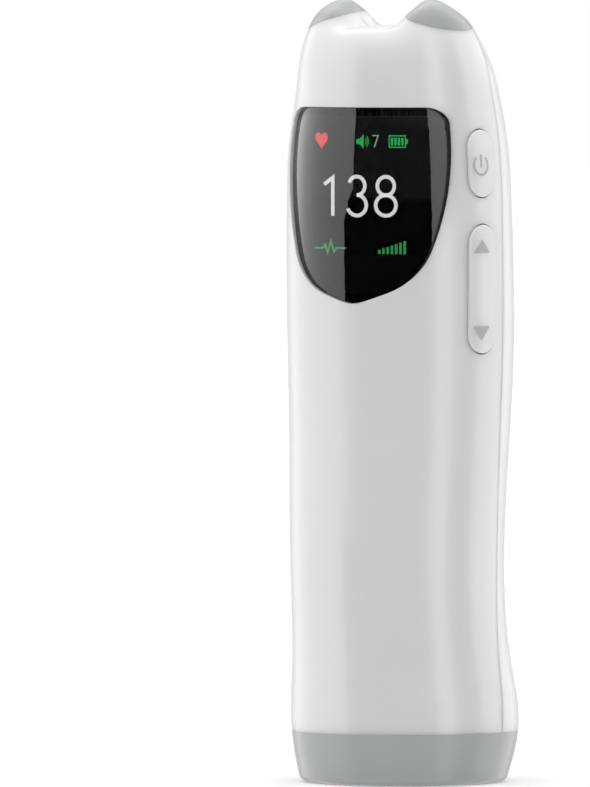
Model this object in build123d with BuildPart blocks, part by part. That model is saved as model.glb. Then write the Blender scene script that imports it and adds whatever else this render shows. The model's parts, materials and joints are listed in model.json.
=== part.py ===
"""Hand-held fetal doppler monitor: two moulded shells, a glossy display, two keys and a probe end.

Millimetres, +Z up. The front faces -Y, the keys are on the +X flank and the probe end
stands on the floor at z = 0. The origin is the middle of the outline's floor box.
"""
from build123d import *
from math import asin, cos, degrees, pi, radians, sin, sqrt, tan
import os

os.makedirs("parts", exist_ok=True)

# ---------------------------------------------------------------- driving dimensions
body_r = 22.8            # widest part of the body, in radius
crown_z = 151.4          # top of the crown, between the ears
axis_y = -1.2            # Y of the grip's axis
split_y = axis_y         # parting plane between the two shells
wall = 2.0               # shell wall
seam_z = 10.3            # top of the probe cover, where the shells begin
foot_round = 1.8         # rounding round the probe face
outside = body_r + 7.2   # a distance from the axis that is clear of the whole body

# Round sections up the body: height, share of body_r, how far the centre lies behind the axis.
body_sections = [
    (0.0, 0.904, 1.70),
    (6.0, 0.967, 2.15),
    (12.4, 1.0, 2.35),
    (24.0, 0.963, 0.80),
    (44.0, 0.939, -1.30),
    (crown_z - 81.4, 0.969, -0.20),
    (crown_z - 61.4, 0.996, 0.35),
    (crown_z - 39.4, 0.991, -0.30),
    (crown_z - 21.4, 0.947, -0.80),
    (crown_z - 13.4, 0.890, -1.20),
]
crown_sections = [
    (crown_z - 8.4, 0.846, -1.80),
    (crown_z - 4.4, 0.781, -2.50),
    (crown_z - 1.4, 0.675, -3.20),
    (crown_z - 0.6, 0.540, -3.70),
    (crown_z - 0.25, 0.400, -4.20),
    (crown_z - 0.05, 0.270, -4.70),
    (crown_z, 0.150, -5.20),
]
ring_points = 32

# Ears: a blunt cone raised on the crown, one each side.
ear_x = 9.7              # peak from the middle
ear_y = axis_y - 6.1     # peak in front of the axis
ear_rise = 5.7
ear_inner = 4.7          # reach of the cone towards the middle, outwards and front to back
ear_outer = 8.5
ear_depth = 10.8
ear_blunt = 0.21         # roundness of the peak, as a share of the reach
ear_swell = 0.87         # under 1, the cone's flanks swell outwards
tip_edge_x = 14.4        # outer edge of the grey tip
tip_edge_z = crown_z - 0.2
tip_tilt = 19.0          # degrees, the tip's joint rises towards the middle
tip_lean = 3.8           # degrees, it rises towards the back
tip_peg_r = 1.4
tip_peg_length = 1.8

# Display window, seen from the front: arcs from the soft point at the bottom up each side.
window_top = crown_z - 16.2
window_height = 39.0
window_bottom = window_top - window_height
window_tip_r = 6.9       # the point
window_flank_r = 63.0    # the slope beside it
window_lower_r = 13.1    # the lower corners
window_corner_r = 3.9    # the upper corners
tip_turn = 16.7          # degrees of turn at the end of the point, slope, lower corner and side
flank_turn = 21.9
lower_turn = 72.2
side_turn = 97.7
lens_inset = 0.9         # the lens's face, below the skin
lens_thickness = 1.1
lens_gap = 0.12
gasket_thickness = 0.3
ledge_width = 1.8
ledge_thickness = 1.2
ledge_rim = 1.4          # the ledge's root, outside the window's outline
ledge_key_gap = 0.6      # from the ledge to the keys' lugs

# Screen behind the lens.
screen_width = 23.2
screen_height = 26.2
screen_middle_z = window_top - 16.9
screen_depth = body_r - lens_inset - lens_thickness - 5.05   # its face, in front of the axis
glass_thickness = 1.0
backlight_thickness = 1.2
screen_border = 0.4      # dark edge hidden by the frame
frame_gap = 0.2
frame_lens_gap = 0.35
board_depth = screen_depth - 4.85    # front face of the main board, in front of the axis
frame_back = board_depth + 2.0       # back of the frame, in front of the axis
frame_legs = [
    (-13.4, window_top - 23.2),
    (-13.4, window_top - 9.2),
    (-6.0, window_bottom + 5.4),
    (6.0, window_bottom + 5.4),
]
frame_leg_r = 0.9
ribbon_width = 10.0
ribbon_thickness = 0.3
ribbon_bend = 2.0

# Keys on the right flank.
key_azimuth = 71.5       # degrees from the front
key_width = 7.5
key_gap = 0.25
key_proud = 0.45
key_round = 0.35
power_z = crown_z - 27.4
power_length = 13.4
rocker_z = power_z - 25.0
rocker_length = 25.6
key_travel = 0.3
lug_reach = 0.8
lug_width = 4.0
lug_gap = 0.1            # between a lug and the shell's inner wall
rocker_arm = 8.0         # from the pivot to a switch
rocker_web = 3.0
pin_r = 0.8
pin_running_gap = 0.05
pin_rib = 1.3
pin_rib_gap = 0.35
pad_r = 1.5
pad_gap = 0.05           # left between a pad and its dome at the end of the travel
web_root = 3.2           # half height of the rocker's web where it leaves the cap
eye_r = 1.9              # round eye at the web's end
rib_eye_r = 2.0          # the same on the shell's ribs
rib_root = 3.4
key_board_depth = body_r - 8.8       # outer face of the key board, from the axis
pin_depth = key_board_depth + 2.9    # the rocker's pivot pin, from the axis
key_back = key_board_depth + 4.4     # inner end of a key's body, from the axis
key_board_thickness = 1.0
key_board_width = key_width + 1.5
key_board_low = rocker_z - 19.5
key_board_high = power_z + 7.5
dome_r = 2.4
dome_rise = 0.5
key_screw_heights = (key_board_low + 3.0, rocker_z + 15.3)
key_boss_r = 1.7
small_screw_r = 0.7
small_head_r = 1.3
small_head = 0.9
small_screw_bite = 4.0   # how far a small screw goes into its post

# Main board behind the screen.
board_thickness = 1.2
board_left = -15.2
board_right = 9.5
board_high = window_top - 5.2
board_length = 68.0
board_low = board_high - board_length
board_round = 3.0
board_post_r = 2.25
shield_x = 0.5
shield_z = board_low + 52.0
shield_width = 15.0
shield_length = 18.0
can_height = 1.8
board_posts = [(x, board_low + rise) for x in (-11.0, 7.0) for rise in (6.0, 29.0)]
key_ribbon_width = 6.0
key_ribbon_z = board_low + 35.0
key_ribbon_bend = 1.5

# Sockets on the left flank.
jack_z = board_low + 18.0
jack_bore_r = 1.8
jack_nose_r = 2.7
jack_body = 6.4
jack_nose_length = 2.7
jack_body_length = 11.8
jack_bore_length = 14.0
socket_inset = 0.3       # a socket's mouth below the shell's skin
usb_z = board_low + 42.0
usb_width = 8.94
usb_height = 3.26
usb_wall = 0.32
usb_length = 7.4
usb_tongue = 0.7
usb_tongue_width = 6.7
socket_gap = 0.1

# Speaker in the back.
speaker_z = board_low + 50.0
speaker_r = 14.0
speaker_wall_gap = 1.18  # between the rim's outer edge and the shell, front to back
speaker_rim = 1.4
speaker_basket = 2.8
speaker_magnet = 1.6
speaker_magnet_r = 8.0
speaker_front = sqrt((body_r - wall) ** 2 - speaker_r**2) - speaker_wall_gap
seat_outer_r = speaker_r - 0.8
seat_inner_r = speaker_r - 2.8
speaker_gasket_thickness = 0.5
cone_thickness = 0.3
cone_dome_r = 5.0
cone_dome = 0.9
grille_hole_r = 0.9
grille_pitch = 3.6
grille_rings = 2

# Battery in the grip.
battery_width = 29.0
battery_thickness = 8.8
battery_height = 48.0
battery_round = 2.5
battery_low = 26.0
battery_front = 0.2      # front face, behind the axis
foam_thickness = 0.6
tray_wall = 1.2
tray_gap = 0.15
tray_side = 6.5          # how far a side wall reaches forward of the tray's back
tray_rib = 1.6
tray_rib_half = 11.0
tray_rib_heights = (34.0, 64.0)

# Screws that close the housing.
screw_places = [(x * side, z) for x, z in ((10.5, crown_z - 12.4), (12.6, 20.0)) for side in (1, -1)]
screw_post_r = 2.7
screw_r = 0.9
screw_hole_r = 1.15
screw_head_r = 1.9
screw_head = 1.4
screw_length = 10.5
screw_seat = 5.0         # under the head, behind the parting plane
screw_point_gap = 0.5
counterbore_r = 2.15

# Probe end.
probe_face = 1.6
probe_wall = 1.8
spigot_gap = 0.1
spigot_wall = 2.2
spigot_top = 16.0
spigot_root = 2.5
seal_depth = 1.1
seal_low, seal_high = 11.3, 12.5
groove_low, groove_high = 13.2, 14.8
groove_depth = 1.1
clamp_gap = 0.1
crystal_r = 11.0
crystal_thickness = 0.8
crystal_gap = 1.0
ring_wall = 1.6
ring_height = 4.6
probe_board_r = 14.5
probe_board_thickness = 1.0
probe_shield_r = 11.5
shield_height = 3.2
shield_wall = 0.4
lead_r = 0.8
bend_share = 0.45        # of the shorter run beside a corner, taken up by its arc
lead_wall_x = -17.2      # where the probe lead climbs beside the battery
plug_width = 5.0
plug_height = 4.0
plug_deep = 3.2
probe_plug_place = (-9.5, board_low + 2.2)
battery_plug_place = (4.0, board_low + 17.0)
speaker_plug_place = (-4.0, speaker_z - 12.5)

# ---------------------------------------------------------------- the body's form


def ear_lift(x, y):
    """How far the crown is raised at a place, by the blunt cone of its nearer ear."""
    reach = ear_inner if abs(x) < ear_x else ear_outer
    out = sqrt(((abs(x) - ear_x) / reach) ** 2 + ((y - ear_y) / ear_depth) ** 2)
    height = 1 + ear_blunt - sqrt(out**2 + ear_blunt**2)
    return ear_rise * max(0, height) ** ear_swell


def body_ring(height, radius, back, lifted):
    """One closed curve round the body. The same spacing on each lets them loft cleanly."""
    centre_y = axis_y + back
    points = []
    for step in range(ring_points):
        angle = 2 * pi * (step + 0.5) / ring_points
        x = radius * cos(angle)
        y = centre_y + radius * sin(angle)
        points.append((x, y, height + (ear_lift(x, y) if lifted else 0)))
    spacing = [step / ring_points for step in range(ring_points + 1)]
    return Wire([Edge.make_spline(points, periodic=True, parameters=spacing)])


def body_form(inset=0.0, ears=True):
    """The whole body as one solid, drawn in by inset all round."""
    rings = [body_ring(z, body_r * share - inset, back, False) for z, share, back in body_sections]
    last = len(crown_sections) - 1
    for step, (z, share, back) in enumerate(crown_sections):
        drawn = body_r * share - inset * min(1, share / crown_sections[0][1])
        rings.append(body_ring(z - (0 if ears else inset), drawn, back, ears and step < last))
    return Solid.make_loft(rings)


def body_band(outer, inner, low, high):
    """A ring of the body between two insets and two heights."""
    with BuildPart() as band:
        add(body_form(outer))
        with BuildSketch(Plane.XY.offset(low)):
            Rectangle(4 * outside, 4 * outside)
        extrude(amount=high - low, mode=Mode.INTERSECT)
        add(body_form(inner), mode=Mode.SUBTRACT)
    return band.part


def at_height(z, column):
    """The body's share of body_r (column 1) or centre offset (column 2), straight between sections."""
    for low, high in zip(body_sections, body_sections[1:]):
        if low[0] <= z <= high[0]:
            return low[column] + (high[column] - low[column]) * (z - low[0]) / (high[0] - low[0])
    return body_sections[-1][column]


def half_width(y, z):
    """Half the body's width at a place in front of or behind the axis."""
    return sqrt((body_r * at_height(z, 1)) ** 2 - (y - axis_y - at_height(z, 2)) ** 2)


def from_axis(depth):
    """Front-facing plane that lies depth in front of the axis."""
    return Plane.XZ.offset(depth - axis_y)


def behind_axis(depth):
    """Front-facing plane that lies depth behind the axis."""
    return Plane.XZ.offset(-depth - axis_y)


def slab(low, high):
    """A wide slice of space between two heights."""
    with BuildPart() as piece:
        with BuildSketch(Plane.XY.offset(low)):
            Rectangle(80, 80)
        extrude(amount=high - low)
    return piece.part


def tip_plane(side):
    """The joint under an ear's tip, with its normal up and outwards."""
    slope = tan(radians(tip_tilt))
    return Plane(
        origin=(side * ear_x, ear_y, tip_edge_z + (tip_edge_x - ear_x) * slope),
        x_dir=(1, 0, -side * slope),
        z_dir=(side * slope, -tan(radians(tip_lean)), 1),
    )


def tip_zone(side):
    """All the space above an ear tip's joint, on that ear's side."""
    with BuildPart() as zone:
        with BuildSketch(tip_plane(side)):
            with Locations((side * 5.5, 0)):
                Rectangle(29, 60)
        extrude(amount=15)
    return zone.part


# ---------------------------------------------------------------- display window


def window_prism(grow, start=10.0):
    """The shield outline of the display, grown all round and carried forwards from start."""
    side_low = window_bottom + window_tip_r * (1 - cos(radians(tip_turn)))
    side_low += window_flank_r * (cos(radians(tip_turn)) - cos(radians(flank_turn)))
    side_low += window_lower_r * (cos(radians(flank_turn)) - cos(radians(lower_turn)))
    corner_rise = window_corner_r * (cos(radians(side_turn)) + 1)
    side_rise = window_top - corner_rise - side_low
    side_r = side_rise / (cos(radians(lower_turn)) - cos(radians(side_turn)))
    with BuildPart() as prism:
        with BuildSketch(from_axis(start)):
            with BuildLine():
                tip = JernArc((0, window_bottom), (1, 0), window_tip_r, tip_turn)
                slope = JernArc(tip @ 1, tip % 1, window_flank_r, flank_turn - tip_turn)
                lower = JernArc(slope @ 1, slope % 1, window_lower_r, lower_turn - flank_turn)
                side = JernArc(lower @ 1, lower % 1, side_r, side_turn - lower_turn)
                corner = JernArc(side @ 1, side % 1, window_corner_r, 180 - side_turn)
                Line(corner @ 1, (0, window_top))
                Line((0, window_top), (0, window_bottom))
            make_face()
            mirror(about=Plane.YZ)
            if grow:
                offset(amount=grow)
        extrude(amount=25)
    return prism.part


# ---------------------------------------------------------------- keys

key_out = Vector(sin(radians(key_azimuth)), -cos(radians(key_azimuth)), 0)
key_along = Vector(cos(radians(key_azimuth)), sin(radians(key_azimuth)), 0)


def flank(depth, z):
    """A plane facing out of the right flank, depth from the axis; its local Y is up."""
    return Plane(origin=Vector(0, axis_y, z) + key_out * depth, x_dir=key_along, z_dir=key_out)


def key_prism(z, length, width, low, high=outside):
    """An upright pill between two distances from the axis."""
    with BuildPart() as prism:
        with BuildSketch(flank(low, z)):
            SlotOverall(length, width, rotation=90)
        extrude(amount=high - low)
    return prism.part


def key_cylinder(z, radius, low, high):
    """A round post square to the flank."""
    with BuildPart() as post:
        with BuildSketch(flank(low, z)):
            Circle(radius)
        extrude(amount=high - low)
    return post.part


board_face = key_board_depth
board_underside = board_face - key_board_thickness
dome_top = board_face + dome_rise
pad_face = dome_top + key_travel + pad_gap


def from_grip(face):
    """How far out along the keys' axis a face lies."""
    return (face.center() - Vector(0, axis_y, 0)).dot(key_out)


def pivot_plane(along=0.0):
    """A plane square to the rocker's pin; its local X points out of the flank."""
    return Plane(flank(0, rocker_z).origin + key_along * along, x_dir=key_out, z_dir=key_along)


with BuildPart() as power_lugs:
    with BuildSketch(flank(key_back, power_z)):
        Rectangle(lug_width, power_length + 2 * lug_reach)
    extrude(amount=outside - key_back)
    add(body_form(wall + lug_gap, ears=False), mode=Mode.INTERSECT)

with BuildPart() as power_button:
    add(key_prism(power_z, power_length, key_width, key_back))
    add(body_form(-key_proud), mode=Mode.INTERSECT)
    fillet(power_button.faces().sort_by(from_grip)[-1].edges(), key_round)
    add(power_lugs.part)

with BuildPart() as power_pad:
    add(key_cylinder(power_z, pad_r, pad_face, key_back))

with BuildPart() as volume_rocker:
    add(key_prism(rocker_z, rocker_length, key_width, key_back))
    add(body_form(-key_proud), mode=Mode.INTERSECT)
    fillet(volume_rocker.faces().sort_by(from_grip)[-1].edges(), key_round)
    with BuildSketch(pivot_plane()):
        with BuildLine():
            Polyline(
                (key_back, web_root),
                (pin_depth, eye_r),
                (pin_depth, -eye_r),
                (key_back, -web_root),
                close=True,
            )
        make_face()
        with Locations((pin_depth, 0)):
            Circle(eye_r)
    extrude(amount=rocker_web / 2, both=True)
    with BuildSketch(pivot_plane()):
        with Locations((pin_depth, 0)):
            Circle(pin_r + pin_running_gap)
    extrude(amount=key_width, both=True, mode=Mode.SUBTRACT)

with BuildPart() as volume_pads:
    for arm in (rocker_arm, -rocker_arm):
        add(key_cylinder(rocker_z + arm, pad_r, pad_face, key_back))

pin_half = key_width / 2 + pin_rib_gap + pin_rib
with BuildPart() as rocker_pin:
    with BuildSketch(pivot_plane()):
        with Locations((pin_depth, 0)):
            Circle(pin_r)
    extrude(amount=pin_half, both=True)

with BuildPart() as key_board:
    board_middle = (key_board_low + key_board_high) / 2
    with BuildSketch(flank(board_underside, board_middle)):
        RectangleRounded(key_board_width, key_board_high - key_board_low, 1.5)
        for z in key_screw_heights:
            with Locations((0, z - board_middle)):
                Circle(small_screw_r, mode=Mode.SUBTRACT)
    extrude(amount=key_board_thickness)


def snap_dome(z):
    """A metal snap dome on the key board: a shallow cap with a flat rim."""
    cap_r = (dome_r**2 + dome_rise**2) / (2 * dome_rise)
    with BuildPart() as dome:
        with BuildSketch(flank(board_face, z)):
            Circle(dome_r)
        extrude(amount=dome_rise)
        ball_centre = Vector(0, axis_y, z) + key_out * (board_face + dome_rise - cap_r)
        add(Pos(*ball_centre) * Sphere(cap_r), mode=Mode.INTERSECT)
    return dome


power_dome = snap_dome(power_z)
volume_up_dome = snap_dome(rocker_z + rocker_arm)
volume_down_dome = snap_dome(rocker_z - rocker_arm)

with BuildPart() as key_board_screws:
    for z in key_screw_heights:
        add(key_cylinder(z, small_head_r, board_underside - small_head, board_underside))
        add(key_cylinder(z, small_screw_r, board_underside, board_face + small_screw_bite))

# ---------------------------------------------------------------- front shell

with BuildPart() as front_posts:
    for z in key_screw_heights:
        add(key_cylinder(z, key_boss_r, board_face, outside))
    for side in (1, -1):
        with BuildSketch(pivot_plane(side * (key_width / 2 + pin_rib_gap))):
            with BuildLine():
                Polyline(
                    (pin_depth, rib_eye_r),
                    (outside, rib_root),
                    (outside, -rib_root),
                    (pin_depth, -rib_eye_r),
                    close=True,
                )
            make_face()
            with Locations((pin_depth, 0)):
                Circle(rib_eye_r)
        extrude(amount=side * pin_rib)
    for x, z in board_posts:
        with BuildSketch(from_axis(board_depth)):
            with Locations((x, z)):
                Circle(board_post_r)
        extrude(amount=outside - board_depth)
    for x, z in screw_places:
        with BuildSketch(Plane.XZ.offset(-split_y)):
            with Locations((x, z)):
                Circle(screw_post_r)
        extrude(amount=outside)
    add(body_form(wall / 2, ears=False), mode=Mode.INTERSECT)

clamp_reach = wall + spigot_gap + groove_depth - clamp_gap
clamp_rib = body_band(wall / 2, clamp_reach, groove_low + clamp_gap, groove_high - clamp_gap)

lens_back = lens_inset + lens_thickness
gasket_back = lens_back + gasket_thickness
key_sizes = ((power_z, power_length), (rocker_z, rocker_length))
with BuildPart() as window_ledge:
    add(window_prism(ledge_rim))
    add(body_form(wall / 2), mode=Mode.INTERSECT)
    add(body_form(gasket_back + ledge_thickness), mode=Mode.SUBTRACT)
    room = 2 * (lug_reach + ledge_key_gap)
    for z, length in key_sizes:
        add(key_prism(z, length + room, key_width + room, board_face), mode=Mode.SUBTRACT)

with BuildPart() as shells:
    add(body_form())
    add(body_form(wall, ears=False), mode=Mode.SUBTRACT)
    add(clamp_rib)
    add(slab(-10, seam_z), mode=Mode.SUBTRACT)
    for side in (1, -1):
        add(tip_zone(side), mode=Mode.SUBTRACT)
        with BuildSketch(tip_plane(side)):
            Circle(tip_peg_r)
        extrude(amount=-tip_peg_length, mode=Mode.SUBTRACT)

with BuildPart() as lens_recess:
    add(window_prism(0))
    add(body_form(gasket_back), mode=Mode.SUBTRACT)

jack_y = axis_y - board_depth + board_thickness + jack_body / 2
usb_y = axis_y - board_depth + board_thickness + usb_height / 2

with BuildPart() as front_shell:
    add(shells.part)
    split(bisect_by=Plane.XZ.offset(-split_y), keep=Keep.TOP)
    add(window_ledge.part)
    add(front_posts.part)
    add(lens_recess.part, mode=Mode.SUBTRACT)
    add(window_prism(-ledge_width), mode=Mode.SUBTRACT)
    for z, length in key_sizes:
        opening = key_prism(z, length + 2 * key_gap, key_width + 2 * key_gap, board_face)
        add(opening, mode=Mode.SUBTRACT)
    with BuildSketch(pivot_plane()):
        with Locations((pin_depth, 0)):
            Circle(pin_r)
    extrude(amount=pin_half, both=True, mode=Mode.SUBTRACT)
    for z in key_screw_heights:
        bite = key_cylinder(z, small_screw_r, board_face, board_face + small_screw_bite)
        add(bite, mode=Mode.SUBTRACT)
    with BuildSketch(from_axis(board_depth)):
        with Locations(*board_posts):
            Circle(small_screw_r)
    extrude(amount=small_screw_bite, mode=Mode.SUBTRACT)
    with BuildSketch(Plane.XZ.offset(-split_y)):
        with Locations(*screw_places):
            Circle(screw_r)
    extrude(amount=screw_length - screw_seat + screw_point_gap, mode=Mode.SUBTRACT)
    with BuildSketch(Plane.YZ.offset(-outside)):
        with Locations((jack_y, jack_z)):
            Circle(jack_nose_r + socket_gap)
        with Locations((usb_y, usb_z)):
            SlotOverall(usb_width + 2 * socket_gap, usb_height + 2 * socket_gap, rotation=90)
    extrude(amount=outside / 2, mode=Mode.SUBTRACT)


# ---------------------------------------------------------------- ear tips


def ear_tip(side):
    """The grey tip of one ear, with a peg that seats in the shell."""
    with BuildPart() as tip:
        add(body_form())
        add(tip_zone(side), mode=Mode.INTERSECT)
        with BuildSketch(tip_plane(side)):
            Circle(tip_peg_r)
        extrude(amount=-tip_peg_length)
    return tip


right_ear_tip = ear_tip(1)
left_ear_tip = ear_tip(-1)

# ---------------------------------------------------------------- display

with BuildPart() as display_lens:
    add(window_prism(-lens_gap))
    add(body_form(lens_inset), mode=Mode.INTERSECT)
    add(body_form(lens_back), mode=Mode.SUBTRACT)

with BuildPart() as lens_gasket:
    add(window_prism(-lens_gap))
    add(window_prism(-ledge_width), mode=Mode.SUBTRACT)
    add(body_form(lens_back), mode=Mode.INTERSECT)
    add(body_form(gasket_back), mode=Mode.SUBTRACT)

with BuildPart() as lcd_frame:
    add(window_prism(-ledge_width - frame_gap, start=frame_back))
    add(body_form(lens_back + frame_lens_gap), mode=Mode.INTERSECT)
    with BuildSketch(from_axis(frame_back)):
        with Locations((0, screen_middle_z)):
            Rectangle(screen_width + frame_gap, screen_height + frame_gap)
    extrude(amount=screen_depth - frame_back, mode=Mode.SUBTRACT)
    with BuildSketch(from_axis(frame_back)):
        with Locations((0, screen_middle_z)):
            RectangleRounded(screen_width - 2 * screen_border, screen_height - 2 * screen_border, 0.6)
    extrude(amount=12, mode=Mode.SUBTRACT)
    with BuildSketch(from_axis(board_depth)):
        with Locations(*frame_legs):
            Circle(frame_leg_r)
    extrude(amount=frame_back - board_depth + 0.5)

screen_back = screen_depth - glass_thickness - backlight_thickness
with BuildPart() as lcd_glass:
    with BuildSketch(from_axis(screen_depth - glass_thickness)):
        with Locations((0, screen_middle_z)):
            Rectangle(screen_width, screen_height)
    extrude(amount=glass_thickness)

with BuildPart() as lcd_backlight:
    with BuildSketch(from_axis(screen_back)):
        with Locations((0, screen_middle_z)):
            Rectangle(screen_width, screen_height)
    extrude(amount=backlight_thickness)
    fillet(lcd_backlight.edges().filter_by(Axis.Y), 0.8)

ribbon_low = screen_middle_z - screen_height / 2 + 2
ribbon_front = axis_y - screen_back + ribbon_thickness / 2
ribbon_rear = axis_y - board_depth - ribbon_thickness / 2
with BuildPart() as lcd_ribbon:
    with BuildLine():
        ribbon_path = FilletPolyline(
            (0, ribbon_front, ribbon_low),
            (0, ribbon_front, ribbon_low + 5),
            (0, ribbon_rear, ribbon_low + 11),
            (0, ribbon_rear, ribbon_low + 17),
            radius=ribbon_bend,
        )
    with BuildSketch(Plane(ribbon_path @ 0, x_dir=(1, 0, 0), z_dir=(0, 0, 1))):
        Rectangle(ribbon_width, ribbon_thickness)
    sweep(path=ribbon_path)

# ---------------------------------------------------------------- main board

board_back = board_depth - board_thickness
board_middle_x = (board_left + board_right) / 2
board_middle_z = (board_low + board_high) / 2

with BuildPart() as main_board:
    with BuildSketch(from_axis(board_back)):
        with Locations((board_middle_x, board_middle_z)):
            RectangleRounded(board_right - board_left, board_high - board_low, board_round)
        with Locations(*board_posts):
            Circle(small_screw_r, mode=Mode.SUBTRACT)
    extrude(amount=board_thickness)

with BuildPart() as main_board_screws:
    with BuildSketch(from_axis(board_back)):
        with Locations(*board_posts):
            Circle(small_screw_r)
    extrude(amount=board_thickness + small_screw_bite)
    with BuildSketch(from_axis(board_back)):
        with Locations(*board_posts):
            Circle(small_head_r)
    extrude(amount=-small_head)

with BuildPart() as board_shield:
    with BuildSketch(from_axis(board_back)):
        with Locations((shield_x, shield_z)):
            RectangleRounded(shield_width, shield_length, 1.0)
    extrude(amount=-can_height)
    with BuildSketch(from_axis(board_back)):
        with Locations((shield_x, shield_z)):
            RectangleRounded(shield_width - 2 * shield_wall, shield_length - 2 * shield_wall, 0.6)
    extrude(amount=-(can_height - shield_wall), mode=Mode.SUBTRACT)

# The keys' flex lies on the back of the main board and on the inner face of the key board.
flex_half = ribbon_thickness / 2
flex_end = key_out * (board_underside - flex_half)
flex_y = flex_half - board_back
with BuildPart() as key_ribbon:
    with BuildLine():
        key_ribbon_path = FilletPolyline(
            Vector(4.0, axis_y + flex_y, key_ribbon_z),
            Vector(flex_end.X - 3.0, axis_y + flex_y, key_ribbon_z),
            Vector(0, axis_y, key_ribbon_z) + flex_end - key_along * 3.8,
            Vector(0, axis_y, key_ribbon_z) + flex_end,
            radius=key_ribbon_bend,
        )
    with BuildSketch(Plane(key_ribbon_path @ 0, x_dir=(0, 1, 0), z_dir=(1, 0, 0))):
        Rectangle(ribbon_thickness, key_ribbon_width)
    sweep(path=key_ribbon_path)

jack_front = socket_inset - half_width(jack_y - jack_nose_r, jack_z)
with BuildPart() as earphone_jack:
    with BuildSketch(Plane.YZ.offset(jack_front)):
        with Locations((jack_y, jack_z)):
            Circle(jack_nose_r)
    extrude(amount=jack_nose_length)
    with BuildSketch(Plane.YZ.offset(jack_front + jack_nose_length)):
        with Locations((jack_y, jack_z)):
            Rectangle(jack_body, jack_body)
    extrude(amount=jack_body_length)
    with BuildSketch(Plane.YZ.offset(jack_front)):
        with Locations((jack_y, jack_z)):
            Circle(jack_bore_r)
    extrude(amount=jack_bore_length, mode=Mode.SUBTRACT)

usb_front = socket_inset - half_width(usb_y - usb_height / 2, usb_z)
with BuildPart() as usb_socket:
    with BuildSketch(Plane.YZ.offset(usb_front)):
        with Locations((usb_y, usb_z)):
            SlotOverall(usb_width, usb_height, rotation=90)
    extrude(amount=usb_length)
    with BuildSketch(Plane.YZ.offset(usb_front)):
        with Locations((usb_y, usb_z)):
            SlotOverall(usb_width - 2 * usb_wall, usb_height - 2 * usb_wall, rotation=90)
    extrude(amount=usb_length - 1.0, mode=Mode.SUBTRACT)
    with BuildSketch(Plane.YZ.offset(usb_front + 0.7)):
        with Locations((usb_y, usb_z)):
            Rectangle(usb_tongue, usb_tongue_width)
    extrude(amount=usb_length - 1.2)

# ---------------------------------------------------------------- speaker

with BuildPart() as speaker:
    with BuildSketch(behind_axis(speaker_front)):
        with Locations((0, speaker_z)):
            Circle(speaker_r)
            Circle(seat_inner_r, mode=Mode.SUBTRACT)
    extrude(amount=speaker_rim)
    with BuildSketch(behind_axis(speaker_front - speaker_rim)):
        with Locations((0, speaker_z)):
            Circle(speaker_r - 1)
    extrude(amount=speaker_basket, taper=40)
    with BuildSketch(behind_axis(speaker_front - speaker_rim - speaker_basket)):
        with Locations((0, speaker_z)):
            Circle(speaker_magnet_r)
    extrude(amount=speaker_magnet)

with BuildPart() as speaker_cone:
    with BuildSketch(behind_axis(speaker_front - speaker_rim + cone_thickness)):
        with Locations((0, speaker_z)):
            Circle(seat_inner_r)
    extrude(amount=cone_thickness)
    cap_r = (cone_dome_r**2 + cone_dome**2) / (2 * cone_dome)
    with BuildSketch(Plane.YZ):
        with BuildLine():
            dome_y = axis_y + speaker_front - speaker_rim + cone_thickness
            edge_z = speaker_z + cone_dome_r
            CenterArc(
                (dome_y + cone_dome - cap_r, speaker_z),
                cap_r,
                0,
                degrees(asin(cone_dome_r / cap_r)),
            )
            Line((dome_y, edge_z), (dome_y, speaker_z))
            Line((dome_y, speaker_z), (dome_y + cone_dome, speaker_z))
        make_face()
    revolve(axis=Axis((0, 0, speaker_z), (0, 1, 0)))

with BuildPart() as speaker_gasket:
    with BuildSketch(behind_axis(speaker_front + speaker_gasket_thickness)):
        with Locations((0, speaker_z)):
            Circle(seat_outer_r)
            Circle(seat_inner_r, mode=Mode.SUBTRACT)
    extrude(amount=speaker_gasket_thickness)

# ---------------------------------------------------------------- battery

cell_middle_y = axis_y + battery_front + battery_thickness / 2
cell_back = battery_front + battery_thickness

with BuildPart() as battery_cell:
    with BuildSketch(Plane.XY.offset(battery_low)):
        with Locations((0, cell_middle_y)):
            RectangleRounded(battery_width, battery_thickness, battery_round)
    extrude(amount=battery_height)
    fillet(battery_cell.faces().filter_by(Axis.Z).edges(), 0.8)

with BuildPart() as battery_foam:
    with BuildSketch(behind_axis(cell_back + foam_thickness)):
        with Locations((0, battery_low + battery_height / 2)):
            Rectangle(battery_width - 2 * battery_round, battery_height - 6)
    extrude(amount=foam_thickness)

tray_in = cell_back + foam_thickness
tray_out = tray_in + tray_wall
tray_front = tray_out - tray_side


def tray_outline(half, back, corner):
    """Half-open outline of the battery tray in plan, as points."""
    front = axis_y + tray_front
    back = axis_y + back
    return [
        (half, front),
        (half, back - corner * 0.8),
        (half - corner, back),
        (-half + corner, back),
        (-half, back - corner * 0.8),
        (-half, front),
    ]


with BuildPart() as battery_tray:
    half_cell = battery_width / 2 + tray_gap
    with BuildSketch(Plane.XY.offset(battery_low - tray_gap - tray_wall)):
        with BuildLine():
            Polyline(*tray_outline(half_cell + tray_wall, tray_out, battery_round), close=True)
        make_face()
    extrude(amount=battery_height + 2 * (tray_gap + tray_wall))
    with BuildSketch(Plane.XY.offset(battery_low - tray_gap)):
        with BuildLine():
            Polyline(*tray_outline(half_cell, tray_in, battery_round * 0.6), close=True)
        make_face()
    extrude(amount=battery_height + 2 * tray_gap, mode=Mode.SUBTRACT)

# ---------------------------------------------------------------- rear shell

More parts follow.
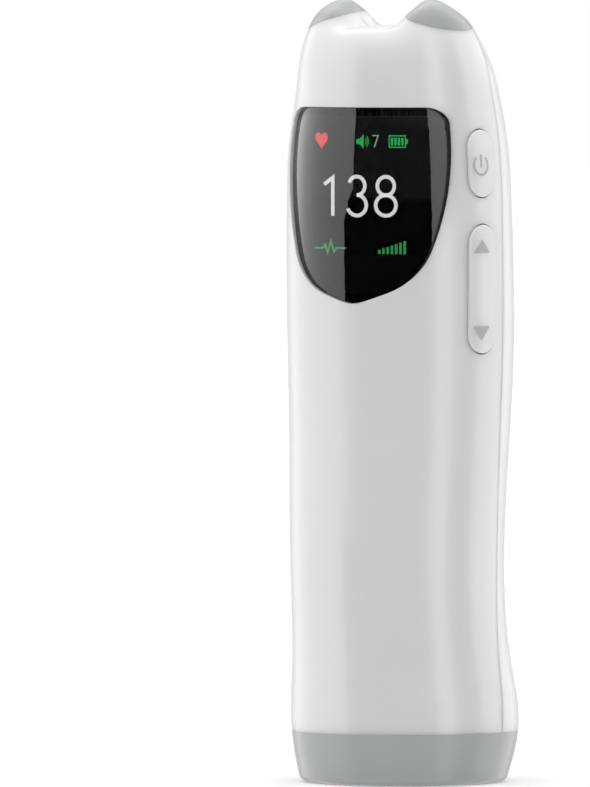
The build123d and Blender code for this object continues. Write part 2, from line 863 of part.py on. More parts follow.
with BuildPart() as rear_posts:
    for x, z in screw_places:
        with BuildSketch(Plane.XZ.offset(-split_y)):
            with Locations((x, z)):
                Circle(screw_post_r)
        extrude(amount=-outside)
    for z in tray_rib_heights:
        with BuildSketch(behind_axis(tray_out)):
            with Locations((0, z)):
                Rectangle(2 * tray_rib_half, tray_rib)
        extrude(amount=-outside)
    with BuildSketch(behind_axis(speaker_front + speaker_gasket_thickness)):
        with Locations((0, speaker_z)):
            Circle(seat_outer_r)
            Circle(seat_inner_r, mode=Mode.SUBTRACT)
    extrude(amount=-outside)
    add(body_form(wall / 2, ears=False), mode=Mode.INTERSECT)

with BuildPart() as rear_shell:
    add(shells.part)
    split(bisect_by=Plane.XZ.offset(-split_y), keep=Keep.BOTTOM)
    add(rear_posts.part)
    with BuildSketch(Plane.XZ.offset(-split_y)):
        with Locations(*screw_places):
            Circle(screw_hole_r)
    extrude(amount=-screw_seat, mode=Mode.SUBTRACT)
    with BuildSketch(Plane.XZ.offset(-split_y - screw_seat)):
        with Locations(*screw_places):
            Circle(counterbore_r)
    extrude(amount=-outside, mode=Mode.SUBTRACT)
    with BuildSketch(behind_axis(speaker_front)):
        for ring in range(grille_rings + 1):
            with Locations((0, speaker_z)):
                with PolarLocations(ring * grille_pitch, max(1, 6 * ring)):
                    Circle(grille_hole_r)
    extrude(amount=-outside, mode=Mode.SUBTRACT)

with BuildPart() as housing_screws:
    with BuildSketch(Plane.XZ.offset(-split_y - screw_seat)):
        with Locations(*screw_places):
            Circle(screw_r)
    extrude(amount=screw_length)
    with BuildSketch(Plane.XZ.offset(-split_y - screw_seat)):
        with Locations(*screw_places):
            Circle(screw_head_r)
    extrude(amount=-screw_head)

# ---------------------------------------------------------------- probe end

probe_y = axis_y + body_sections[0][2]

spigot_inside = wall + spigot_gap + spigot_wall

with BuildPart() as cup_hollow:
    add(body_form(probe_wall))
    add(slab(probe_face, 100), mode=Mode.INTERSECT)

with BuildPart() as probe_cover:
    add(body_form())
    add(slab(seam_z, 200), mode=Mode.SUBTRACT)
    fillet(probe_cover.faces().sort_by(Axis.Z)[0].edges(), foot_round)
    add(cup_hollow.part, mode=Mode.SUBTRACT)
    add(body_band(probe_wall / 2, spigot_inside, seam_z - spigot_root, seam_z))
    add(body_band(wall + spigot_gap, spigot_inside, seam_z - spigot_root, spigot_top))
    add(body_band(0, wall + seal_depth, seal_low, seal_high), mode=Mode.SUBTRACT)
    add(body_band(0, wall + spigot_gap + groove_depth, groove_low, groove_high), mode=Mode.SUBTRACT)

with BuildPart() as probe_seal:
    add(body_band(wall, wall + seal_depth, seal_low, seal_high))


def half_disc(side, radius, low, high):
    """A D-shaped half of a disc on one side of the probe's divider."""
    with BuildPart() as piece:
        with BuildSketch(Plane.XY.offset(low)):
            with Locations((0, probe_y)):
                Circle(radius)
            with Locations((side * (radius + crystal_gap / 2), probe_y)):
                Rectangle(2 * radius, 2 * radius, mode=Mode.INTERSECT)
        extrude(amount=high - low)
    return piece


crystal_top = probe_face + crystal_thickness
ring_top = probe_face + ring_height
transmit_crystal = half_disc(1, crystal_r, probe_face, crystal_top)
receive_crystal = half_disc(-1, crystal_r, probe_face, crystal_top)
with BuildPart() as crystal_backing:
    for side in (1, -1):
        add(half_disc(side, crystal_r - 0.1, crystal_top, ring_top).part)

with BuildPart() as crystal_ring:
    with BuildSketch(Plane.XY.offset(probe_face)):
        with Locations((0, probe_y)):
            Circle(crystal_r + 0.1 + ring_wall)
            Circle(crystal_r + 0.1, mode=Mode.SUBTRACT)
            Rectangle(crystal_gap - 0.2, 2 * crystal_r + 1)
    extrude(amount=ring_height)

probe_board_top = ring_top + probe_board_thickness
with BuildPart() as probe_board:
    with BuildSketch(Plane.XY.offset(ring_top)):
        with Locations((0, probe_y)):
            Circle(probe_board_r)
    extrude(amount=probe_board_thickness)

with BuildPart() as probe_shield:
    with BuildSketch(Plane.XY.offset(probe_board_top)):
        with Locations((0, probe_y)):
            Circle(probe_shield_r)
    extrude(amount=shield_height)
    fillet(probe_shield.faces().sort_by(Axis.Z)[-1].edges(), 0.8)
    with BuildSketch(Plane.XY.offset(probe_board_top)):
        with Locations((0, probe_y)):
            Circle(probe_shield_r - shield_wall)
    extrude(amount=shield_height - shield_wall, mode=Mode.SUBTRACT)

# ---------------------------------------------------------------- leads and plugs


def plug(x, z):
    """A small two-row plug standing on the back of the main board."""
    with BuildPart() as body:
        with BuildSketch(from_axis(board_back)):
            with Locations((x, z)):
                Rectangle(plug_width, plug_height)
        extrude(amount=-plug_deep)
        fillet(body.edges().filter_by(Axis.Y), 0.4)
    return body


def bends(route):
    """The largest arc that each corner of a route has room for."""
    radii = []
    for before, corner, after in zip(route, route[1:], route[2:]):
        turn = radians((corner - before).get_angle(after - corner))
        shorter = min((corner - before).length, (after - corner).length)
        radii.append(bend_share * shorter / tan(turn / 2))
    return radii


def lead(*points):
    """A round insulated lead: straight runs joined by arcs. The places count from the grip's axis."""
    route = [Vector(x, axis_y + y, z) for x, y, z in points]
    with BuildPart() as tube:
        with BuildLine():
            path = FilletPolyline(*route, radius=bends(route))
        with BuildSketch(Plane(path @ 0, z_dir=path % 0)):
            Circle(lead_r)
        sweep(path=path)
    print("lead", round(path.length, 1), "mm, bends", [round(radius, 1) for radius in bends(route)])
    print("  volume over section times length", round(tube.part.volume / (pi * lead_r**2 * path.length), 4))
    return tube


plug_face = -(board_back - plug_deep)
probe_plug = plug(*probe_plug_place)
battery_plug = plug(*battery_plug_place)
speaker_plug = plug(*speaker_plug_place)

plug_x, plug_z = probe_plug_place
probe_lead = lead(
    (-13.0, 1.7, probe_board_top),
    (-13.0, 1.7, probe_board_top + 4),
    (lead_wall_x, 1.0, 17.0),
    (lead_wall_x, 0.0, 54.0),
    (plug_x - 4.0, plug_face + 5.0, plug_z - 3.0),
    (plug_x, plug_face + 4.0, plug_z),
    (plug_x, plug_face, plug_z),
)

plug_x, plug_z = battery_plug_place
battery_top = battery_low + battery_height
battery_lead = lead(
    (plug_x, battery_front + 2.5, battery_top),
    (plug_x, battery_front + 2.5, plug_z),
    (plug_x, plug_face, plug_z),
)

plug_x, plug_z = speaker_plug_place
speaker_back = speaker_front - speaker_rim - speaker_basket - speaker_magnet
speaker_lead = lead(
    (plug_x, speaker_back, speaker_z - 5.0),
    (plug_x, speaker_back - 4.5, speaker_z - 5.0),
    (plug_x, plug_face + 4.5, plug_z),
    (plug_x, plug_face, plug_z),
)

# ---------------------------------------------------------------- hand over

pieces = {
    "front_shell": front_shell,
    "rear_shell": rear_shell,
    "left_ear_tip": left_ear_tip,
    "right_ear_tip": right_ear_tip,
    "display_lens": display_lens,
    "lens_gasket": lens_gasket,
    "lcd_frame": lcd_frame,
    "lcd_glass": lcd_glass,
    "lcd_backlight": lcd_backlight,
    "lcd_ribbon": lcd_ribbon,
    "power_button": power_button,
    "power_pad": power_pad,
    "volume_rocker": volume_rocker,
    "volume_pads": volume_pads,
    "rocker_pin": rocker_pin,
    "key_board": key_board,
    "key_board_screws": key_board_screws,
    "key_ribbon": key_ribbon,
    "power_dome": power_dome,
    "volume_up_dome": volume_up_dome,
    "volume_down_dome": volume_down_dome,
    "main_board": main_board,
    "main_board_screws": main_board_screws,
    "board_shield": board_shield,
    "earphone_jack": earphone_jack,
    "usb_socket": usb_socket,
    "speaker": speaker,
    "speaker_cone": speaker_cone,
    "speaker_gasket": speaker_gasket,
    "speaker_lead": speaker_lead,
    "speaker_plug": speaker_plug,
    "battery_cell": battery_cell,
    "battery_foam": battery_foam,
    "battery_tray": battery_tray,
    "battery_lead": battery_lead,
    "battery_plug": battery_plug,
    "housing_screws": housing_screws,
    "probe_cover": probe_cover,
    "probe_seal": probe_seal,
    "transmit_crystal": transmit_crystal,
    "receive_crystal": receive_crystal,
    "crystal_ring": crystal_ring,
    "crystal_backing": crystal_backing,
    "probe_board": probe_board,
    "probe_shield": probe_shield,
    "probe_lead": probe_lead,
    "probe_plug": probe_plug,
}
for name, piece in pieces.items():
    piece.part.label = name
    export_step(piece.part, f"parts/{name}.step")
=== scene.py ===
# %% [markdown]
# # A hand-held fetal doppler in a white studio
# The object is one upright body in white plastic. It has a grey probe end to stand on, two
# light grey ear tips, a glossy black display and two keys. All of its rigid forms are in the
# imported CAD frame, so this lesson is about four other things: a studio, believable plastics,
# a lit screen behind a smoked lens, and small printed symbols that follow curved keys.

# %% Load the fixed frame
import bmesh
import bpy
import json
from math import cos, hypot, pi, radians, sin, tau
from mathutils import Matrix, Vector
from mathutils.bvhtree import BVHTree


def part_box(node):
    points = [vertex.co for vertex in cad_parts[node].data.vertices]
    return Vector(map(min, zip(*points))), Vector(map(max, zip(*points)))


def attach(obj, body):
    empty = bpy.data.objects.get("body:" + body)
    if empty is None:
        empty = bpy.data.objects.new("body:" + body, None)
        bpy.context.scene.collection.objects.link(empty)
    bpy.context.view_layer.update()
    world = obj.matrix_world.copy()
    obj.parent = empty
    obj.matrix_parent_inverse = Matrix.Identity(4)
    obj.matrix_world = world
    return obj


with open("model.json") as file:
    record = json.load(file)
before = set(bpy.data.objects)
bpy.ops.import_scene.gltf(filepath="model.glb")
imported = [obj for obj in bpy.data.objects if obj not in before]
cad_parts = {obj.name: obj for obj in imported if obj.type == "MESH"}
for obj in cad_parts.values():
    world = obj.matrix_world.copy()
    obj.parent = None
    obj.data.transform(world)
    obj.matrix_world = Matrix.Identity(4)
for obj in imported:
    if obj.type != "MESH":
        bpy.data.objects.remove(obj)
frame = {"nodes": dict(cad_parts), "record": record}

MM = 0.001
scene = bpy.context.scene
nodes = frame["nodes"]
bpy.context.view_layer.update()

# %% [markdown]
# ## The camera
# A long lens from a few metres away keeps the sides of the body upright. The camera stands
# to the right of the display and a little above the middle, so that both the display and the
# flank with the keys are seen. A short lens close by would make the crown lean back, and the
# probe end would show its underside.


# %% Camera
def add_object(name, data):
    """A new object for some data, linked into the scene."""
    thing = bpy.data.objects.new(name, data)
    scene.collection.objects.link(thing)
    return thing


CAMERA_AZIMUTH = radians(25.5)
CAMERA_RISE = radians(1.9)
CAMERA_DISTANCE = 3.0
PICTURE_HEIGHT = 0.1574
SENSOR = 36
AIM_LEFT = 21 * MM       # the body stands right of the middle of the picture
AIM_HEIGHT = 77.7 * MM
grip_axis = Vector((0, -1.2 * MM, 0))
view_out = Vector((sin(CAMERA_AZIMUTH), -cos(CAMERA_AZIMUTH), 0))
view_right = Vector((cos(CAMERA_AZIMUTH), sin(CAMERA_AZIMUTH), 0))
aim = grip_axis - view_right * AIM_LEFT + Vector((0, 0, AIM_HEIGHT))
view_line = (view_out * cos(CAMERA_RISE) + Vector((0, 0, sin(CAMERA_RISE)))).normalized()

camera_data = bpy.data.cameras.new("camera")
camera_data.lens = SENSOR * CAMERA_DISTANCE / PICTURE_HEIGHT
camera_data.clip_end = 20
camera = add_object("camera", camera_data)
camera.location = aim + view_line * CAMERA_DISTANCE
camera.rotation_euler = view_line.to_track_quat("Z", "Y").to_euler()
scene.camera = camera
scene.view_settings.view_transform = "Standard"
print("lens", round(camera_data.lens), "mm at", CAMERA_DISTANCE, "m")

# %% [markdown]
# ## The room
# White plastic on white is shown by its reflections, so light and reflections are set apart.
# The room is even and white, and a little brighter overhead, which gives the body a calm tone
# without hard shadows. A light path node tells the kinds of ray apart: the eye sees plain
# white, the light that falls on the plastic is weaker, and the room seen in gloss is more
# than twice as bright. Lamps could do the same, but each would also throw a shadow.

# %% World
ROOM_LIGHT = 0.65
OVERHEAD = 1.6
GLOSS_LEVEL = 2.3
RAY_LEVELS = (("Is Camera Ray", 1.0), ("Is Transmission Ray", 1.0), ("Is Glossy Ray", GLOSS_LEVEL))


def empty_tree(owner):
    """The node tree of a world or material, switched on and cleared."""
    owner.use_nodes = True
    owner.node_tree.nodes.clear()
    return owner.node_tree


def to_output(tree, kind, shader):
    """Join a shader to a new output node."""
    out = tree.nodes.new(kind)
    tree.links.new(shader.outputs[0], out.inputs["Surface"])


def sky():
    """A white world, brighter overhead, with its own level as light, to the eye and in gloss."""
    world = bpy.data.worlds.new("white_room")
    scene.world = world
    tree = empty_tree(world)
    path = tree.nodes.new("ShaderNodeLightPath")
    strength = None
    for ray, level in RAY_LEVELS:
        step = tree.nodes.new("ShaderNodeMath")
        step.operation = "MULTIPLY_ADD"
        tree.links.new(path.outputs[ray], step.inputs[0])
        step.inputs[1].default_value = level - ROOM_LIGHT
        step.inputs[2].default_value = ROOM_LIGHT
        if strength is not None:
            tree.links.new(strength, step.inputs[2])
        strength = step.outputs[0]
    where = tree.nodes.new("ShaderNodeTexCoord")
    split = tree.nodes.new("ShaderNodeSeparateXYZ")
    tree.links.new(where.outputs["Generated"], split.inputs[0])
    overhead = tree.nodes.new("ShaderNodeMapRange")
    overhead.inputs["To Min"].default_value = 1.0
    overhead.inputs["To Max"].default_value = OVERHEAD
    tree.links.new(split.outputs["Z"], overhead.inputs["Value"])
    raised = tree.nodes.new("ShaderNodeMath")
    raised.operation = "MULTIPLY"
    tree.links.new(strength, raised.inputs[0])
    tree.links.new(overhead.outputs[0], raised.inputs[1])
    glow = tree.nodes.new("ShaderNodeBackground")
    glow.inputs["Color"].default_value = (1, 1, 1, 1)
    tree.links.new(raised.outputs[0], glow.inputs["Strength"])
    to_output(tree, "ShaderNodeOutputWorld", glow)


sky()
print("the room is", ROOM_LIGHT, "as light,", GLOSS_LEVEL, "in gloss, and", OVERHEAD, "times that overhead")

# %% [markdown]
# ## Three cards
# A studio shapes white plastic with cards, which it mirrors. These curve round the body
# and only glossy rays see them, so they change no light. The wide black card in front gives
# the calm middle of the body and the black of the display, and the narrow black one draws the
# dark band beside the keys. The pale card behind keeps the far edge from turning pure white.
# Each fades into the room above the object, so that no card has a hard top in the crown.

# %% Cards
CARD_DISTANCE = 1.2
CARD_FADE = (0.4, 1.1)   # heights in metres between which a card turns into the room
CARD_FOOT = -0.7
CARD_TOP = 1.1


def bearing(degrees):
    """A level direction that many degrees to the right of the camera, round the object."""
    angle = CAMERA_AZIMUTH + radians(degrees)
    return Vector((sin(angle), -cos(angle), 0))


def card_paper(name, tone):
    """Glowing paper of one tone that fades into the room with height."""
    paper = bpy.data.materials.new(name)
    tree = empty_tree(paper)
    place = tree.nodes.new("ShaderNodeNewGeometry")
    split = tree.nodes.new("ShaderNodeSeparateXYZ")
    tree.links.new(place.outputs["Position"], split.inputs[0])
    fade = tree.nodes.new("ShaderNodeMapRange")
    fade.inputs["From Min"].default_value = CARD_FADE[0]
    fade.inputs["From Max"].default_value = CARD_FADE[1]
    fade.inputs["To Min"].default_value = tone
    fade.inputs["To Max"].default_value = GLOSS_LEVEL
    tree.links.new(split.outputs["Z"], fade.inputs["Value"])
    glow = tree.nodes.new("ShaderNodeEmission")
    tree.links.new(fade.outputs[0], glow.inputs["Strength"])
    to_output(tree, "ShaderNodeOutputMaterial", glow)
    return paper


def card(name, tone, rows, steps=24):
    """A curved card seen by glossy rays alone. Each row is a height and its two directions."""
    points = []
    for height, start, end in rows:
        for step in range(steps + 1):
            level = bearing(start + (end - start) * step / steps) * CARD_DISTANCE
            points.append(level + Vector((0, 0, height)))
    faces = []
    for row in range(len(rows) - 1):
        for step in range(steps):
            low = row * (steps + 1) + step
            high = low + steps + 1
            faces.append((low, low + 1, high + 1, high))
    mesh = bpy.data.meshes.new(name)
    mesh.from_pydata(points, [], faces)
    mesh.materials.append(card_paper(name, tone))
    sheet = add_object(name, mesh)
    sheet.visible_camera = False
    sheet.visible_diffuse = False
    sheet.visible_transmission = False
    sheet.visible_shadow = False
    print(name, "has tone", tone, "and", len(faces), "faces")


card("front_card", 0.0, ((CARD_FOOT, -61, 34), (0.055, -61, 34), (0.118, -50, 34), (CARD_TOP, -50, 34)))
card("side_card", 0.0, ((CARD_FOOT, 54, 84), (CARD_TOP, 54, 84)))
card("back_card", 0.9, ((CARD_FOOT, 148, 212), (CARD_TOP, 148, 212)))

# %% [markdown]
# ## One soft lamp
# An even room lights both sides of the body alike. On the object the left side is a little
# brighter and the tone slopes away from it. A gradient in the room could do that too, but it
# would also show in the gloss. A wide lamp that glossy rays can't see slopes the tone alone.


# %% Soft lamp
def soft_lamp(name, degrees, distance, height, size, power):
    """A wide lamp without a reflection, so that it only slopes the tone across the body."""
    data = bpy.data.lights.new(name, "AREA")
    data.size = size
    data.energy = power
    lamp = add_object(name, data)
    lamp.location = bearing(degrees) * distance + Vector((0, 0, height))
    lamp.rotation_euler = (lamp.location - Vector((0, 0, 0.08))).to_track_quat("Z", "Y").to_euler()
    lamp.visible_glossy = False
    print(name, "adds", round(power / (pi * size ** 2), 2), "to the light from its side")


soft_lamp("left_lamp", degrees=-100, distance=1.6, height=0.3, size=1.2, power=1.5)

# %% [markdown]
# ## The floor
# The object stands on white that runs into the background without an edge. A shadow catcher
# would hide the floor's own colour, so this is a real floor instead: matt, with a little glow
# that only the camera sees. That lifts it to pure white, except in the object's soft shadow.

# %% Floor
FLOOR_REACH = 6.0
FLOOR_COLOUR = (0.9, 0.9, 0.9, 1)
FLOOR_GLOW = 0.25


def pale_floor():
    """A wide white floor. It clips to white in the picture and keeps the object's soft shadow."""
    mesh = bpy.data.meshes.new("floor")
    corners = [(x * FLOOR_REACH, y * FLOOR_REACH, 0) for x, y in ((-1, -1), (1, -1), (1, 1), (-1, 1))]
    mesh.from_pydata(corners, [], [(0, 1, 2, 3)])
    floor = add_object("floor", mesh)
    paint = bpy.data.materials.new("floor_paint")
    tree = empty_tree(paint)
    matt = tree.nodes.new("ShaderNodeBsdfDiffuse")
    matt.inputs["Color"].default_value = FLOOR_COLOUR
    lift = tree.nodes.new("ShaderNodeEmission")
    path = tree.nodes.new("ShaderNodeLightPath")
    to_eye = tree.nodes.new("ShaderNodeMath")
    to_eye.operation = "MULTIPLY"
    to_eye.inputs[1].default_value = FLOOR_GLOW
    tree.links.new(path.outputs["Is Camera Ray"], to_eye.inputs[0])
    tree.links.new(to_eye.outputs[0], lift.inputs["Strength"])
    both = tree.nodes.new("ShaderNodeAddShader")
    tree.links.new(matt.outputs[0], both.inputs[0])
    tree.links.new(lift.outputs[0], both.inputs[1])
    to_output(tree, "ShaderNodeOutputMaterial", both)
    mesh.materials.append(paint)
    floor.visible_glossy = False


pale_floor()
print("the floor is", 2 * FLOOR_REACH, "m wide")

# %% [markdown]
# ## Plastics, metals and rubber
# Most pieces differ in only four things: colour, gloss, how fine their grain is and how deep
# it is. One helper makes all of them from two noises. The slow noise shifts the colour and
# the gloss a little, as uneven moulding does, and the fine one is the grain. Stretching the
# grain along one axis turns it into brushed metal, so steel needs no helper of its own.

# %% One helper for solid finishes, and the housing's white
UNEVEN_SCALE = 60        # slow noise, in patches of about 17 mm
UNEVEN_RANGE = (0.3, 0.7)
GLOSS_SWING = 0.1
GRAIN_STRENGTH = 0.3


def finish(name, colour, roughness, grain=0.4, depth=0.01, uneven=0.02, metal=0.0,
           stretch=(1, 1, 1), specular=0.5):
    """A node material. grain is the size of the grain in mm, and depth its height in mm."""
    material = bpy.data.materials.new(name)
    material.use_nodes = True
    tree = material.node_tree
    skin = tree.nodes["Principled BSDF"]
    skin.inputs["Metallic"].default_value = metal
    skin.inputs["Specular IOR Level"].default_value = specular
    place = tree.nodes.new("ShaderNodeTexCoord")
    stretched = tree.nodes.new("ShaderNodeMapping")
    stretched.inputs["Scale"].default_value = stretch
    tree.links.new(place.outputs["Object"], stretched.inputs["Vector"])
    slow = tree.nodes.new("ShaderNodeTexNoise")
    slow.inputs["Scale"].default_value = UNEVEN_SCALE
    slow.inputs["Detail"].default_value = 3
    tree.links.new(place.outputs["Object"], slow.inputs["Vector"])
    tint = tree.nodes.new("ShaderNodeValToRGB")
    for stop, share, position in zip(tint.color_ramp.elements, (1 - uneven, 1 + uneven), UNEVEN_RANGE):
        stop.color = [min(1, channel * share) for channel in colour] + [1]
        stop.position = position
    tree.links.new(slow.outputs["Fac"], tint.inputs["Fac"])
    tree.links.new(tint.outputs["Color"], skin.inputs["Base Color"])
    gloss = tree.nodes.new("ShaderNodeMapRange")
    gloss.inputs["To Min"].default_value = roughness * (1 - GLOSS_SWING)
    gloss.inputs["To Max"].default_value = roughness * (1 + GLOSS_SWING)
    tree.links.new(slow.outputs["Fac"], gloss.inputs["Value"])
    tree.links.new(gloss.outputs[0], skin.inputs["Roughness"])
    fine = tree.nodes.new("ShaderNodeTexNoise")
    fine.inputs["Scale"].default_value = 1 / (grain * MM)
    fine.inputs["Detail"].default_value = 2
    tree.links.new(stretched.outputs["Vector"], fine.inputs["Vector"])
    bump = tree.nodes.new("ShaderNodeBump")
    bump.inputs["Strength"].default_value = GRAIN_STRENGTH
    bump.inputs["Distance"].default_value = depth * MM
    tree.links.new(fine.outputs["Fac"], bump.inputs["Height"])
    tree.links.new(bump.outputs["Normal"], skin.inputs["Normal"])
    return material


finishes = {
    "housing_white": finish("housing_white", (0.80, 0.80, 0.80), 0.26, grain=0.5, depth=0.002,
                            uneven=0.004, specular=0.65),
}
print("housing white has", len(finishes["housing_white"].node_tree.nodes), "shader nodes")

# %% [markdown]
# ## The outer plastics
# The shells and keys are the same glossy white resin. Light crosses a few millimetres of it,
# which keeps the window's recess from going black, so both get scattering under the skin. A
# brighter colour would lift the recess too, but the open faces would burn out. The ear tips
# and the probe end are grey, and they mirror less than the white does.

# %% White and grey plastics
SCATTER_DEPTH = 3.5 * MM
SCATTER_SHARE = 0.8
finishes.update({
    "key_white": finish("key_white", (0.80, 0.80, 0.80), 0.20, grain=0.3, depth=0.003,
                        uneven=0.004, specular=0.65),
    "ear_grey": finish("ear_grey", (0.33, 0.335, 0.335), 0.24, grain=0.25, depth=0.006,
                       uneven=0.015, specular=0.4),
    "probe_grey": finish("probe_grey", (0.44, 0.445, 0.445), 0.22, grain=0.25, depth=0.004,
                         uneven=0.012, specular=0.2),
})
for name in ("housing_white", "key_white"):
    skin = finishes[name].node_tree.nodes["Principled BSDF"]
    skin.inputs["Subsurface Weight"].default_value = SCATTER_SHARE
    skin.inputs["Subsurface Radius"].default_value = (1, 1, 1)
    skin.inputs["Subsurface Scale"].default_value = SCATTER_DEPTH
print("light crosses", SCATTER_DEPTH / MM, "mm of the white plastics")

# %% [markdown]
# ## What lies inside
# The inner pieces are hardly ever seen, but a cut-away or a pose can show them, so each has
# the finish of the real thing: stamped steel, black trim, rubber, foam and foil. Plain colours
# would be quicker, but steel and foil would then look like painted plastic.

# %% Inner finishes
finishes.update({
    "screen_white": finish("screen_white", (0.85, 0.85, 0.83), 0.6, grain=0.6, depth=0.004),
    "trim_black": finish("trim_black", (0.012, 0.012, 0.012), 0.55, grain=0.25, uneven=0.08, specular=0.1),
    "seal_black": finish("seal_black", (0.02, 0.02, 0.02), 0.8, depth=0.02, uneven=0.1),
    "pad_grey": finish("pad_grey", (0.50, 0.51, 0.52), 0.7),
    "steel": finish("steel", (0.62, 0.62, 0.61), 0.3, grain=0.12, depth=0.004, metal=1.0, stretch=(1, 1, 12)),
    "ribbon_amber": finish("ribbon_amber", (0.55, 0.28, 0.05), 0.35, grain=0.5, depth=0.003, uneven=0.06),
    "cell_silver": finish("cell_silver", (0.66, 0.67, 0.68), 0.28, grain=2.5, depth=0.05, metal=1.0),
    "foam_grey": finish("foam_grey", (0.16, 0.16, 0.17), 0.95, grain=0.5, depth=0.2, uneven=0.15),
    "lead_grey": finish("lead_grey", (0.30, 0.31, 0.32), 0.5, grain=0.5, depth=0.006),
    "plug_cream": finish("plug_cream", (0.78, 0.74, 0.64), 0.45, depth=0.004),
    "crystal_silver": finish("crystal_silver", (0.74, 0.73, 0.70), 0.4, grain=0.2, depth=0.004, metal=1.0),
})
print(len(finishes), "finishes so far")

# %% [markdown]
# ## The printed boards
# A board is green solder mask over copper tracks. A brick pattern of long thin cells stands
# for the tracks: the mask over copper is a lighter green than the mask over bare laminate.
# Tracks could be cut as geometry, but they stand only a few hundredths of a millimetre high.

# %% Board finish
MASK_GREEN = (0.03, 0.15, 0.07)
TRACK_SCALE = 500        # cells to a metre


def board_finish():
    """Green solder mask with lighter tracks under it."""
    material = finish("board_green", MASK_GREEN, 0.35, grain=0.3, depth=0.004)
    tree = material.node_tree
    skin = tree.nodes["Principled BSDF"]
    place = tree.nodes["Texture Coordinate"]
    turned = tree.nodes.new("ShaderNodeMapping")
    turned.inputs["Rotation"].default_value = (pi / 2, 0, 0)
    turned.inputs["Scale"].default_value = (TRACK_SCALE, TRACK_SCALE, TRACK_SCALE)
    tree.links.new(place.outputs["Object"], turned.inputs["Vector"])
    tracks = tree.nodes.new("ShaderNodeTexBrick")
    tracks.inputs["Color1"].default_value = (*MASK_GREEN, 1)
    tracks.inputs["Color2"].default_value = (0.035, 0.17, 0.08, 1)
    tracks.inputs["Mortar"].default_value = (0.08, 0.28, 0.12, 1)
    tracks.inputs["Scale"].default_value = 1.0
    tracks.inputs["Mortar Size"].default_value = 0.06
    tree.links.new(turned.outputs["Vector"], tracks.inputs["Vector"])
    tree.links.new(tracks.outputs["Color"], skin.inputs["Base Color"])
    return material


finishes["board_green"] = board_finish()
print("board tracks repeat every", 1 / TRACK_SCALE / MM, "mm")

# %% [markdown]
# ## The lens and the black screen
# The lens is a sheet of smoked acrylic, so it is made as real glass: full transmission, a
# dark tint and a polished face. Its reflections then grow by themselves towards the edges.
# The panel behind it is black and slightly matt, with nothing on it but the lit symbols. A
# painted black lens would be simpler, but the symbols would then lie on it and not behind it.

# %% Lens and panel finishes
LENS_TINT = (0.07, 0.07, 0.07)
ACRYLIC_IOR = 1.49
lens = finish("lens_black", LENS_TINT, 0.02, grain=3.0, depth=0.0005, uneven=0.004)
lens_skin = lens.node_tree.nodes["Principled BSDF"]
lens_skin.inputs["Transmission Weight"].default_value = 1.0
lens_skin.inputs["IOR"].default_value = ACRYLIC_IOR
finishes["lens_black"] = lens
finishes["screen_black"] = finish("screen_black", (0.004, 0.004, 0.005), 0.45, grain=0.2,
                                  depth=0.001, specular=0.1)
print("the lens lets", LENS_TINT[0], "of the light through")

# %% [markdown]
# ## Dress the nodes
# Each CAD node names a slot, which is the kind of stuff it is made of. Looking the finish up
# by slot dresses alike pieces alike, and a new node needs no new line here. Naming a finish
# for every node by hand would work too, but 47 such lines are easy to get wrong.

# %% Dress every node by its slot
for part in frame["record"]["subparts"]:
    for socket in nodes[part["node"]].material_slots:
        socket.material = finishes[part["material_slot"]]

# %% [markdown]
# ## Light for the screen
# A symbol on the panel is seen through the smoked lens, which takes most of its light. Its
# glow is therefore divided by the lens's tint, so that the colours written here are those
# that leave the lens. Brighter plates by trial would do, but would shift with every new tint.

# %% Glowing finishes
THROUGH_LENS = 1 / LENS_TINT[0]
UNLIT_SHARE = 0.2        # a plate's own colour, as a share of its glow


def glowing(name, colour):
    """A dark plate that gives off its own colour."""
    material = finish(name, [channel * UNLIT_SHARE for channel in colour], 0.5, grain=0.15, depth=0.001)
    skin = material.node_tree.nodes["Principled BSDF"]
    skin.inputs["Emission Color"].default_value = (*colour, 1)
    skin.inputs["Emission Strength"].default_value = THROUGH_LENS
    return material


glow_white = glowing("glow_white", (0.66, 0.66, 0.66))
glow_pale_green = glowing("glow_pale_green", (0.16, 0.36, 0.22))
glow_green = glowing("glow_green", (0.02, 0.34, 0.08))
glow_dim_green = glowing("glow_dim_green", (0.03, 0.24, 0.07))
glow_red = glowing("glow_red", (0.72, 0.05, 0.04))
print("symbols glow", round(THROUGH_LENS, 1), "times as strongly as they look")

# %% [markdown]
# ## The large figures
# The screen shows a plain number. Each figure is a thin plate a few hundredths of a
# millimetre thick, standing on the glass of the panel. A font would be quicker, but its
# strokes are too heavy, so the figures are strokes of even width along lines and arcs. The
# one has sharp corners, so its stroke is cut square at each. The bowls of the three and the
# eight are round, so short steps along an arc are enough.

# %% Plates and strokes
SCREEN_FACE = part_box("lcd_glass")[0][1]
PLATE = 0.04 * MM


def thin_plates(name, rings, material):
    """One object of thin plates. Each has a front ring and a rear ring with as many points."""
    bm = bmesh.new()
    for front_points, rear_points in rings:
        rear = [bm.verts.new(point) for point in rear_points]
        front = [bm.verts.new(point) for point in front_points]
        bm.faces.new(front)
        bm.faces.new(list(reversed(rear)))
        for step in range(len(front)):
            after = (step + 1) % len(front)
            bm.faces.new((front[step], rear[step], rear[after], front[after]))
    bmesh.ops.recalc_face_normals(bm, faces=bm.faces)
    mesh = bpy.data.meshes.new(name)
    bm.to_mesh(mesh)
    bm.free()
    mesh.materials.append(material)
    return add_object(name, mesh)


def plate_piece(name, outlines, material, body="housing"):
    """Closed flat outlines, in mm across and up, as one piece of thin plates on the screen."""
    rings = []
    for outline in outlines:
        front = [(x * MM, SCREEN_FACE - PLATE, z * MM) for x, z in outline]
        rear = [(x * MM, SCREEN_FACE, z * MM) for x, z in outline]
        rings.append((front, rear))
    piece = thin_plates(name, rings, material)
    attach(piece, body)
    return piece


